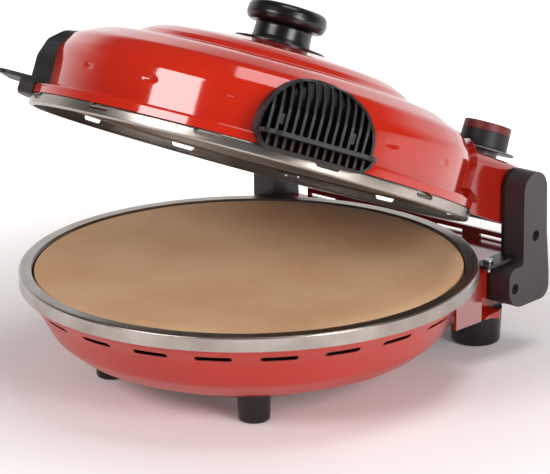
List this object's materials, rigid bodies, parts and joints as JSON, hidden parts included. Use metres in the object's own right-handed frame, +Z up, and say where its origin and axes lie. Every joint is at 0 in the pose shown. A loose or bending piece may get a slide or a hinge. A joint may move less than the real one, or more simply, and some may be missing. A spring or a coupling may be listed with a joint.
{
  "type": "electric pizza maker",
  "caption": "Red electric pizza maker with a round baking stone, a domed lid hinged between two upright arms, louvred side grips, a top knob and a timer knob.",
  "frame": {"origin": "middle of the box round the part in its stored pose, with the lid 24 degrees open, on the table plane under the feet", "axes": "+Z up, +X to the side of the timer knob, front of the pizza maker towards -Y, hinge at +Y"},
  "size_m": [0.3552, 0.3779, 0.2848],
  "materials": {
    "red_enamel": "glossy enamel",
    "red_plastic": "glossy",
    "rim_steel": "brushed",
    "black_plastic": "soft sheen",
    "grey_plastic": "satin",
    "screw_steel": "bright",
    "reflector_steel": "dull bright",
    "dark_steel": "dull",
    "heater_steel": "oxidised",
    "ceramic_white": "matt",
    "black_rubber": "matt",
    "lead_white": "woven sleeve",
    "stone_beige": "smooth fired cordierite",
    "bush_brass": "turned",
    "washer_grey": "dull",
    "timer_white": "matt",
    "dial_grey": "satin",
    "red_cap": "satin"
  },
  "bodies": {
    "base": {"base_bowl": "red_enamel", "base_rim_ring": "rim_steel", "base_housing": "red_plastic", "base_bottom_cover": "dark_steel", "front_feet": "black_plastic", "rear_feet": "black_plastic", "foot_screws": "screw_steel", "deck_screws": "screw_steel", "arm_right": "grey_plastic", "arm_left": "grey_plastic", "arm_plate_right": "black_plastic", "arm_plate_left": "black_plastic", "arm_screws": "screw_steel", "hinge_pins": "screw_steel", "lower_reflector": "reflector_steel", "lower_heater": "heater_steel", "lower_heater_clips": "reflector_steel", "terminal_block": "ceramic_white", "cord_gland": "black_rubber", "thermal_cutout": "ceramic_white", "base_wiring": "lead_white"},
    "stone": {"baking_stone": "stone_beige"},
    "lid": {"lid_rim_ring": "rim_steel", "lid_dome": "red_enamel", "lid_housing": "red_plastic", "lid_housing_cover": "dark_steel", "hinge_brackets": "reflector_steel", "hinge_bushes": "bush_brass", "friction_washers": "washer_grey", "lid_reflector": "reflector_steel", "upper_heater": "heater_steel", "upper_heater_clips": "reflector_steel", "grip_right": "black_plastic", "grip_left": "black_plastic", "grip_screws": "screw_steel", "knob_flange": "black_plastic", "top_knob": "black_plastic", "knob_screw": "screw_steel", "timer_unit": "timer_white", "timer_bracket": "reflector_steel", "dial_plate": "dial_grey", "lid_wiring": "lead_white"},
    "timer": {"timer_shaft": "screw_steel", "timer_knob": "black_plastic", "timer_knob_cap": "red_cap"}
  },
  "joints": [
    {"name": "lid_hinge", "type": "hinge", "parent": "base", "child": "lid", "pos_m": [0, 0.16204, 0.125], "axis": [-1, 0, 0], "range_deg": [-24, 62]},
    {"name": "stone_lift", "type": "slide", "parent": "base", "child": "stone", "axis": [0, 0, 1], "range_m": [0, 0.008]},
    {"name": "timer_turn", "type": "hinge", "parent": "lid", "child": "timer", "pos_m": [0.0835, 0.16642, 0.15698], "axis": [0, -0.4067, -0.9135], "range_deg": [0, 300]}
  ]
}
